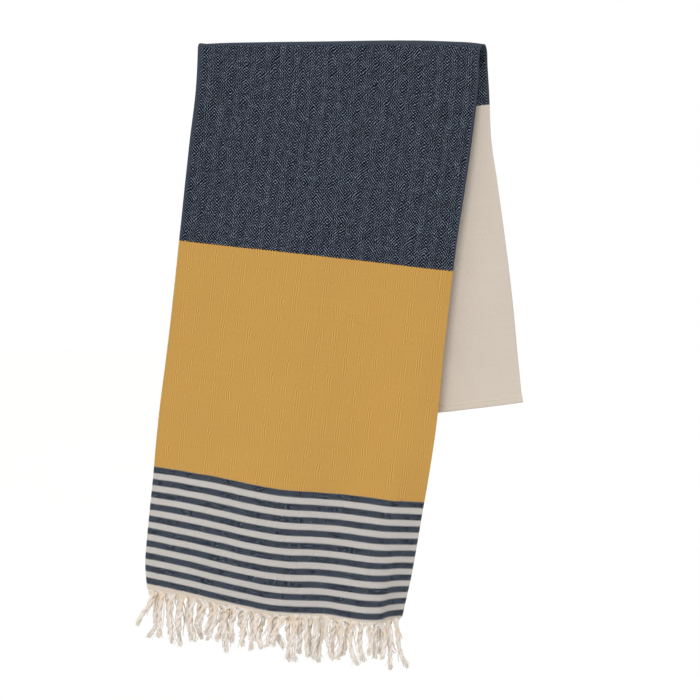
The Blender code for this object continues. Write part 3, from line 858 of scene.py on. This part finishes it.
def cloth_columns(cloth):
    """The sheet's outline, cut square to the strip, as one closed run of columns: the
    outer face of both layers and round the side fold, then back along their inner faces.
    Each column has its place across, how many half gaps and thicknesses it stands off
    along the normal and sideways, and its place on the unfolded width."""
    across = np.concatenate([
        [0.0, 0.0012, 0.0026, 0.0044, 0.0066, 0.0095], np.linspace(0.014, 0.484, 60),
        cloth.half_width - np.array([0.010, 0.005, 0.002, 0.0])])
    last = np.arange(len(across))
    ones, none = np.ones(len(across)), np.zeros(len(across))
    turn = np.linspace(0, math.pi, 9)[1:-1]  # round the side fold
    quarter = np.radians([0.0, 50.0])        # round the selvedge of the open side
    half_fold = 0.0040                       # cloth taken up by half of the fold
    edge = cloth.half_width + half_fold

    def run(*parts):
        return np.concatenate(parts)

    at_edge = np.full(2, len(across) - 1)
    at_fold = np.zeros(len(turn), int)
    outer = {
        "cell": run(at_edge, last[::-1], at_fold, last, at_edge),
        "gap": run([1, 1], ones, np.cos(turn), -ones, [-1, -1]),
        "thick": run(0.5 + 0.5 * np.sin(quarter), ones, np.cos(turn), -ones,
                     -0.5 - 0.5 * np.sin(quarter[::-1])),
        "gap_side": run([0, 0], none, -np.sin(turn), none, [0, 0]),
        "thick_side": run(0.5 * np.cos(quarter), none, -np.sin(turn), none,
                          0.5 * np.cos(quarter[::-1])),
        "u": run([edge, edge], across[::-1] + half_fold, half_fold * np.cos(turn),
                 -across - half_fold, [-edge, -edge]),
    }
    inner = {
        "cell": run(at_edge[:1], last[::-1], at_fold, last, at_edge[:1]),
        "gap": run([1], ones, np.cos(turn), -ones, [-1]),
        "thick": run([0.5 - 0.5 * math.sin(quarter[1])], none, 0 * turn, none,
                     [-0.5 + 0.5 * math.sin(quarter[1])]),
        "gap_side": run([0], none, -np.sin(turn), none, [0]),
        "thick_side": run([0.5 * math.cos(quarter[1])], none, 0 * turn, none,
                          [0.5 * math.cos(quarter[1])]),
        "u": run([edge], across[::-1] + half_fold, half_fold * np.cos(turn),
                 -across - half_fold, [-edge]),
    }
    wide = len(outer["u"])
    columns = {name: run(outer[name], inner[name][::-1]) for name in outer}
    return across, columns, wide


def end_faces(wide, first, forwards):
    """Faces that close one end of the sheet between its outer and inner faces."""
    i = np.arange(1, wide - 2)
    quads = np.stack([i, i + 1, 2 * wide - 3 - i, 2 * wide - 2 - i], axis=-1)
    tips = np.array([[0, 1, 2 * wide - 3], [wide - 2, wide - 1, wide]])
    if not forwards:
        quads, tips = quads[:, ::-1], tips[:, ::-1]
    return quads + first, tips + first


class TOWEL_OT_cloth(bpy.types.Operator):
    """Weave the cloth and hang it over the rail"""

    bl_idname = "towel.cloth"
    bl_label = "Cloth"

    def execute(self, context):
        cloth = context.scene.towel_cloth
        across, columns, wide = cloth_columns(cloth)
        rows = cloth_rows(cloth)
        along = woven_rows(across, rows)
        middle, out, side, _ = middle_sheet(across, along, cloth.half_width)
        air, thick = layer_sizes(across, along, cloth)
        cell = columns["cell"].astype(int)
        air, thick = air[:, cell, None] / 2, thick[:, cell, None]
        # The inner layer's open side strays a few millimetres from the outer one's.
        stray = 0.0016 * np.sin(5.1 * rows + 0.6) + 0.0010 * np.sin(13.0 * rows)
        under = np.where(columns["u"] < 0, (across[cell] / cloth.half_width) ** 3, 0.0)
        points = (middle[:, cell]
                  + out[:, cell] * (columns["gap"][:, None] * air
                                    + columns["thick"][:, None] * thick)
                  + side[:, cell] * (columns["gap_side"][:, None] * air
                                     + columns["thick_side"][:, None] * thick
                                     + (stray[:, None] * under)[..., None]))
        ring = len(cell)
        quads = grid_faces(len(rows), ring, True)
        start, start_tips = end_faces(wide, 0, False)
        end, end_tips = end_faces(wide, (len(rows) - 1) * ring, True)
        uv = np.stack(np.broadcast_arrays(columns["u"], along[:, cell]), axis=-1)
        uv = uv.reshape(-1, 2)
        faces = [quads, np.concatenate([start, end]),
                 np.concatenate([start_tips, end_tips])]
        piece = new_piece("towel_cloth", points, faces, [uv[f] for f in faces], flat=(1, 2))
        piece.data.materials.append(cloth_material(cloth))
        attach(piece, "root")
        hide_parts("cloth")
        return {"FINISHED"}


class TOWEL_OT_stitches(bpy.types.Operator):
    """Sew the hem at the back end"""

    bl_idname = "towel.stitches"
    bl_label = "Hem stitches"

    def execute(self, context):
        cloth = context.scene.towel_cloth
        line = cloth.hem_depth - SEAM_INSET - cloth.back_length
        pitch, reach, steps = 0.0034, 0.0026, 5
        thread_radius = 0.00032
        count = int((cloth.half_width - 0.006) / pitch)
        start = 0.004 + pitch * np.arange(count)
        across = start[:, None] + reach * np.linspace(0, 1, steps)
        rows = line + THREE_ROWS
        middle, out, _, _ = middle_sheet(across.ravel(), rows, cloth.half_width)
        air, thick = layer_sizes(across.ravel(), rows, cloth)
        lift = (air[1] / 2 + thick[1]).reshape(count, steps)
        # a stitch dips into the cloth at both ends and stands proud between them
        bow = 0.0005 * np.sin(math.pi * np.linspace(0, 1, steps)) - 0.0003
        middle, out = (part[1].reshape(count, steps, 3) for part in (middle, out))
        paths = np.concatenate([middle + layer * out * (lift + bow)[..., None]
                                for layer in (1, -1)])
        radii = np.full(paths.shape[:2], thread_radius)
        points, quads, caps, uv = tubes(paths, radii, 6, np.array([0.0, 0.0, 1.0]))
        piece = new_piece("hem_stitches", points, [quads, caps],
                          [uv, np.zeros(caps.shape + (2,))])
        piece.data.materials.append(thread_material(cloth))
        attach(piece, "root")
        return {"FINISHED"}


# ---------------------------------------------------------------- fringe
def woven_end(places, width):
    """Points of the woven end at places across, with the level directions outwards and
    sideways there, read off 201 samples of the end."""
    samples = np.linspace(0, width, 201)
    sheet = middle_sheet(samples, FRINGE_START + THREE_ROWS, width)[:3]
    edge, out, side = (
        np.stack([np.interp(places, samples, part[1][:, k]) for k in range(3)], axis=-1)
        for part in sheet)
    level = np.array([1.0, 1.0, 0.0])
    return edge, unit(out * level), unit(side * level)


def strand_lines(width, steps):
    """Centre lines of the strands: each starts at its seat on the woven end, strays
    sideways through the thirds of its table row, and comes down by its reach. Returns
    the lines, the sideways and outward directions at each step, lengths and layers."""
    layer = np.repeat([1.0, -1.0], [len(OUTER_STRANDS), len(INNER_STRANDS)])
    shares = np.linspace(0, 1, steps)
    strays = np.concatenate([0 * STRANDS[:, :1], STRANDS[:, 1:-1]], axis=1)
    places = STRANDS[:, :1] + through(shares, THIRDS, strays.T).T
    for i in range(1, len(STRANDS)):
        if layer[i] == layer[i - 1]:
            places[i] = np.maximum(places[i], places[i - 1] + LEAST_SPACING)
    seen = np.clip(places, 0, width)
    here, out, side = woven_end(seen, width)
    depth = ROOT_DEPTH + (ROW_DEPTH - ROOT_DEPTH) * np.minimum(1, shares / 0.26)
    wave = np.random.default_rng(5).uniform(-1, 1, (4, len(STRANDS), 1))
    curl = CURL * (wave[0] * np.sin(2 * math.pi * shares)
                   + wave[1] * np.sin(4.3 * math.pi * shares + 3 * wave[2]))
    curl = curl * np.minimum(1, shares * 4)
    lines = (here + side * (places - seen + 0.7 * curl)[..., None]
             + out * (layer[:, None] * depth + curl * wave[3])[..., None])
    lines[..., 2] -= shares * STRANDS[:, -1:]
    return lines, side, out, STRANDS[:, -1], layer


def strand_plies(lines, side, out, lengths, fringe, rng):
    """Two plies wound round each centre line: a helix of one turn a lay, which starts
    spread flat at the root, draws together over the first centimetre, and thins a little
    at its tip."""
    count, steps, _ = lines.shape
    shares = np.linspace(0, 1, steps)
    run = lengths[:, None] * shares
    lay = fringe.lay * rng.uniform(0.75, 1.30, (count, 1))
    angle = 2 * math.pi * run / lay + rng.uniform(-0.5, 0.5, (count, 1))
    drawn = smooth(run, 0.0, ROOT_LENGTH)
    thin = 1 - 0.30 * smooth(shares, 0.80, 1.0)
    size = fringe.ply_radius * rng.uniform(0.84, 1.14, (count, 1)) * thin
    size = size * (1 + 0.10 * np.sin(run * 900 + 7 * rng.uniform(size=(count, 1))))
    size = size * (0.5 + 0.5 * drawn)
    paths, radii = [], []
    for turn in (0.0, math.pi):
        wide = ((1 - drawn) * ROOT_SPREAD * math.cos(turn)
                + drawn * size * PLY_OFFSET * np.cos(angle + turn))
        deep = drawn * size * PLY_OFFSET * np.sin(angle + turn)
        paths.append(lines + side * wide[..., None] + out * deep[..., None])
        radii.append(size)
    return np.concatenate(paths), np.concatenate(radii)


def root_yarns(lines, layer, width, rng):
    """Warp yarns that leave the woven end side by side, and draw together sideways, on a
    soft step, until they lie in their strand."""
    count, steps = len(lines), 9
    each = (count, ROOT_YARNS)
    strand = (count, 1, 1)
    shares = np.linspace(0, 1, steps)
    seats = np.linspace(-1, 1, ROOT_YARNS) + rng.uniform(-0.08, 0.08, each)
    reach = rng.uniform(0.85, 1.15, (*each, 1)) * rng.uniform(0.65, 1.7, strand)
    gather = ROOT_FAN * rng.uniform(0.65, 1.30, strand)
    run = np.linspace(-0.0015, ROOT_RUN, steps) * reach
    place = STRANDS[:, :1, None] + gather * seats[..., None] * (
        1 - 0.86 * smooth(shares, 0.02, 0.75))
    place = np.clip(place, 0.0008, width - 0.0008)
    start = woven_rows(place[..., 0].ravel(), np.array([FRINGE_START])).reshape(*each, 1)
    points, away, _ = woven_end(place, width)
    points[..., 2] -= start - FRINGE_START + run
    settled = smooth(shares, 0.0, 0.8)
    depth = 0.0010 + (0.0030 - 0.0010) * settled + 0.0009 * rng.uniform(
        -1, 1, (*each, 1)) * settled
    points = points + away * (layer[:, None, None] * depth)[..., None]
    lean = (lines[:, 4] - lines[:, 0])[:, None, None] * smooth(shares, 0.2, 1.0)[:, None]
    points[..., :2] += lean[..., :2] * 0.6
    radii = ROOT_RADIUS * rng.uniform(0.8, 1.15, (*each, 1)) + 0 * shares
    return points.reshape(-1, steps, 3), radii.reshape(-1, steps)


def knots(lines, side, out, fringe, rng):
    """A trefoil, the shape of a pulled-up overhand knot, on each strand: x = sin t +
    2 sin 2t, y = cos t - 2 cos 2t, z = -sin 3t. It is turned about the way out of the
    towel by its own tilt, and drawn a little narrower than tall."""
    count, steps, _ = lines.shape
    t = np.linspace(0, 2 * math.pi, 32, endpoint=False)
    shape = np.stack([np.sin(t) + 2 * np.sin(2 * t), np.cos(t) - 2 * np.cos(2 * t),
                      -np.sin(3 * t)], axis=-1) / 3
    size = fringe.knot * rng.uniform(0.72, 1.10, count)
    tilt = rng.uniform(0, 2 * math.pi, count)
    where = (rng.uniform(0.58, 0.74, count) * (steps - 1)).astype(int)
    pick = np.arange(count)
    centre, across, away = lines[pick, where], side[pick, where], out[pick, where]
    down = np.array([0.0, 0.0, -1.0])
    cos, sin = np.cos(tilt)[:, None], np.sin(tilt)[:, None]
    first = cos * across + sin * down
    second = -sin * across + cos * down
    body = (shape[:, 0, None] * first[:, None] * 0.78
            + shape[:, 1, None] * second[:, None] * 0.86
            + 1.1 * shape[:, 2, None] * away[:, None])
    paths = centre[:, None] + body * (0.60 * size)[:, None, None]
    radii = np.repeat(0.40 * size[:, None], len(t), axis=1)
    return paths, radii, centre


def tip_yarns(lines, side, out, rng):
    """Yarns of the frayed tips: they leave a strand near its end side by side, fan out a
    little and waver, and end at nearly one height, like a brush."""
    count, steps, _ = lines.shape
    each, points = (count, TIP_YARNS), 6
    shares = np.linspace(0, 1, points)
    begin = (rng.uniform(0.66, 0.90, each) * (steps - 1)).astype(int)
    pick = np.arange(count)[:, None]
    a, b = side[pick, begin], out[pick, begin]
    offset = rng.normal(0, 0.0012, (2, *each, 1))
    aside = offset[0] * a + offset[1] * b
    base = lines[pick, begin] + aside
    tip = lines[:, -2][:, None] + 2.5 * aside
    tip = tip + rng.normal(0, 1, (*each, 3)) * np.array([0.0014, 0.0012, 0.0024])
    path = base[:, :, None] + (tip - base)[:, :, None] * shares[:, None]
    wave = rng.uniform(0, 2 * math.pi, (2, *each, 1))
    swing = (0.0007 * np.sin(9 * shares + wave) * shares)[..., None]
    path = path + swing[0] * a[:, :, None] + swing[1] * b[:, :, None]
    radii = TIP_RADIUS * (1 - 0.5 * shares**2) * rng.uniform(0.7, 1.2, (*each, 1))
    return path.reshape(-1, points, 3), radii.reshape(-1, points)


def stray_yarns(lines, side, out, rng):
    """Single yarns that were left out of the twist: each leaves the woven end beside a
    strand, comes down along it on a wavering path that may cross the next strand, and
    ends part of the way down."""
    count, steps, _ = lines.shape
    each, points = (count, STRAY_YARNS, 1), 10
    shares = np.linspace(0.03, 1, points)
    reach = rng.uniform(0.35, 0.92, each) * shares * (steps - 1)
    below = np.minimum(reach.astype(int), steps - 2)
    part = (reach - below)[..., None]
    pick = np.arange(count)[:, None, None]
    path = lines[pick, below] * (1 - part) + lines[pick, below + 1] * part
    start, drift, phase, deep = rng.normal(0, 1, (4, *each))
    aside = 0.0040 * start + 0.0042 * drift * shares**1.5 + 0.0022 * np.sin(
        5 * shares + 3 * phase) * smooth(shares, 0.0, 0.3)
    depth = 0.0018 * deep * smooth(shares, 0.0, 0.4)
    path = path + aside[..., None] * side[pick, below] + depth[..., None] * out[pick, below]
    radii = STRAY_RADIUS * (1 - 0.35 * shares**3) * rng.uniform(0.7, 1.2, each)
    return path.reshape(-1, points, 3), radii.reshape(-1, points)


def fuzz(lines, side, out, rng):
    """Short stray hairs along the strands: they stand off a strand and droop."""
    count, steps, _ = lines.shape
    each, points = (count, HAIRS), 4
    shares = np.linspace(0, 1, points)[:, None]
    begin = (rng.uniform(0.05, 0.95, each) * (steps - 1)).astype(int)
    pick = np.arange(count)[:, None]
    way = rng.uniform(0, 2 * math.pi, (*each, 1))
    lean = unit(np.cos(way) * side[pick, begin] + np.sin(way) * out[pick, begin])
    length = rng.uniform(*HAIR_LENGTHS, (*each, 1, 1))
    fall = rng.uniform(-0.9, 0.5, (*each, 1, 1)) * np.array([0.0, 0.0, 1.0])
    path = (lines[pick, begin] + 0.0025 * lean)[:, :, None] + length * (
        shares * lean[:, :, None] * 0.6 + shares**1.5 * fall)
    radii = np.broadcast_to(HAIR_RADIUS * (1 - 0.6 * shares[:, 0]), (*each, points))
    return path.reshape(-1, points, 3), radii.reshape(-1, points)


class TOWEL_OT_fringe(bpy.types.Operator):
    bl_idname = "towel.fringe"
    bl_label = "Fringe"

    def execute(self, context):
        cloth, fringe = context.scene.towel_cloth, context.scene.towel_fringe
        rng = np.random.default_rng(21)
        lines, side, out, lengths, layer = strand_lines(cloth.half_width, STRAND_STEPS)
        hint = np.array([0.23, 0.94, 0.12])  # no yarn runs this way
        plies = tubes(*strand_plies(lines, side, out, lengths, fringe, rng), 7, hint)
        yarns = tubes(*root_yarns(lines, layer, cloth.half_width, rng), 5, hint)
        paths, radii, centre = knots(lines, side, out, fringe, rng)
        tied = tubes(paths, radii, 7, paths - centre[:, None], closed=True)
        tips = tubes(*tip_yarns(lines, side, out, rng), 4, hint)
        hairs = tubes(*fuzz(lines, side, out, rng), 3, hint)
        strays = tubes(*stray_yarns(lines, side, out, rng), 4, hint)
        # Knots, tips and hairs get the least painted bounce light, as cotton well below the
        # roots.
        for _, _, _, uv in (tied, tips, hairs):
            uv[..., 1] += PAST_ROOTS
        points, quads, quad_uvs, caps, shift = [], [], [], {}, 0
        for some, faces, ends, uv in (plies, yarns, tied, tips, hairs, strays):
            points.append(some)
            quads.append(faces + shift)
            quad_uvs.append(uv)
            if len(ends):
                caps.setdefault(ends.shape[1], []).append(ends + shift)
            shift += len(some)
        cap_faces = [np.concatenate(some) for some in caps.values()]
        cap_uvs = [np.full(some.shape + (2,), PAST_ROOTS) for some in cap_faces]
        piece = new_piece("knotted_fringe", np.concatenate(points),
                          [np.concatenate(quads), *cap_faces],
                          [np.concatenate(quad_uvs), *cap_uvs])
        piece.data.materials.append(fringe_material(fringe))
        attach(piece, "root")
        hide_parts("fringe")
        return {"FINISHED"}


# ---------------------------------------------------------------- stage
def soft_sun(name, strength, way, height, spread):
    """Even light from far off: way is its bearing, 0 behind the camera and above 0 to the
    right, height its angle above the floor and spread how wide it looks, in degrees."""
    light = bpy.data.lights.new(name, "SUN")
    light.energy, light.angle = strength, math.radians(spread)
    item = bpy.data.objects.new(name, light)
    bpy.context.scene.collection.objects.link(item)
    item.rotation_euler = (math.radians(90 - height), 0.0, math.radians(way))
    return item


def floor_material(stage):
    """Painted studio floor: matt and even, with a very faint cloudiness."""
    material, tree, shader = new_material("painted studio floor", 0.8, 0.0)
    place = add_node(tree, "TexCoord", out=3)
    cloud = add_node(tree, "TexNoise", {"Vector": place, "Scale": 0.8})
    tone = add_node(tree, "MapRange", {"Value": cloud, "To Min": 0.985, "To Max": 1.0})
    colour = add_node(tree, "Mix", {0: 1.0, 6: (*stage.floor, 1.0), 7: tone}, out=2,
                      data_type="RGBA", blend_type="MULTIPLY")
    tree.links.new(colour, shader.inputs["Base Color"])
    return material


class TOWEL_OT_stage(bpy.types.Operator):
    """Set up the pale floor, the soft light and the camera"""

    bl_idname = "towel.stage"
    bl_label = "Stage"

    def execute(self, context):
        scene, stage = context.scene, context.scene.towel_stage
        scene.view_settings.view_transform = "Standard"
        world = bpy.data.worlds.new("white room")
        scene.world = world
        world.use_nodes = True
        # The room looks pure white, and throws less light than it shows, so that the key
        # light can draw soft shadows.
        seen = add_node(world.node_tree, "LightPath", out="Is Camera Ray")
        strength = add_node(world.node_tree, "MapRange", {
            "Value": seen, "To Min": stage.room, "To Max": 1.0})
        glow = world.node_tree.nodes["Background"]
        glow.inputs["Color"].default_value = (1.0, 1.0, 1.0, 1.0)
        world.node_tree.links.new(strength, glow.inputs["Strength"])
        # A round floor: rings of points on a flat disc, closer together near its middle.
        ring = np.linspace(0.0, 1.0, FLOOR_RINGS + 1)[1:] ** 1.5 * FLOOR_RADIUS
        angle = np.linspace(0, 2 * math.pi, FLOOR_SIDES, endpoint=False)
        level = np.full((FLOOR_RINGS, FLOOR_SIDES), -FLOOR_DROP)
        points = np.stack([ring[:, None] * np.cos(angle), ring[:, None] * np.sin(angle),
                           level], axis=-1)
        quads = grid_faces(FLOOR_RINGS, FLOOR_SIDES, True)[:, ::-1]
        middle = np.arange(FLOOR_SIDES)[None]
        piece = new_piece("floor", points, [quads, middle],
                          [np.zeros(quads.shape + (2,)), np.zeros(middle.shape + (2,))])
        piece.data.materials.append(floor_material(stage))
        soft_sun("key light", stage.key, way=-10, height=55, spread=14)
        soft_sun("back light", stage.back, way=160, height=35, spread=40)
        camera = bpy.data.cameras.new("camera")
        camera.lens, camera.sensor_width, camera.shift_y = LENS, SENSOR, SHIFT
        item = bpy.data.objects.new("camera", camera)
        scene.collection.objects.link(item)
        item.location = EYE
        item.rotation_euler = (math.pi / 2, 0.0, 0.0)
        scene.camera = item
        return {"FINISHED"}


class TOWEL_PT_panel(bpy.types.Panel):
    """Lists the towel's pieces and their sizes"""

    bl_idname = "TOWEL_PT_panel"
    bl_label = "Hammam Towel"
    bl_space_type = "VIEW_3D"
    bl_region_type = "UI"
    bl_category = "Towel"

    def draw(self, context):
        for operator, group in PIECES:
            box = self.layout.box()
            box.operator(operator)
            settings = getattr(context.scene, group, None)
            if settings:
                for name in settings.__annotations__:
                    box.prop(settings, name)


PIECES = (
    ("towel.stage", "towel_stage"),
    ("towel.cloth", "towel_cloth"),
    ("towel.stitches", ""),
    ("towel.fringe", "towel_fringe"),
)
GROUPS = {
    "towel_cloth": TowelClothSettings,
    "towel_fringe": TowelFringeSettings,
    "towel_stage": TowelStageSettings,
}
CLASSES = (
    *GROUPS.values(), TOWEL_OT_cloth, TOWEL_OT_stitches, TOWEL_OT_fringe, TOWEL_OT_stage,
    TOWEL_PT_panel,
)


def register():
    for cls in CLASSES:
        bpy.utils.register_class(cls)
    for name, cls in GROUPS.items():
        setattr(bpy.types.Scene, name, PointerProperty(type=cls))


def unregister():
    for name in GROUPS:
        delattr(bpy.types.Scene, name)
    for cls in reversed(CLASSES):
        bpy.utils.unregister_class(cls)


def main():
    """Make every piece in order."""
    register()
    bpy.ops.towel.stage()
    bpy.ops.towel.cloth()
    bpy.ops.towel.stitches()
    bpy.ops.towel.fringe()


if __name__ == "__main__":
    main()
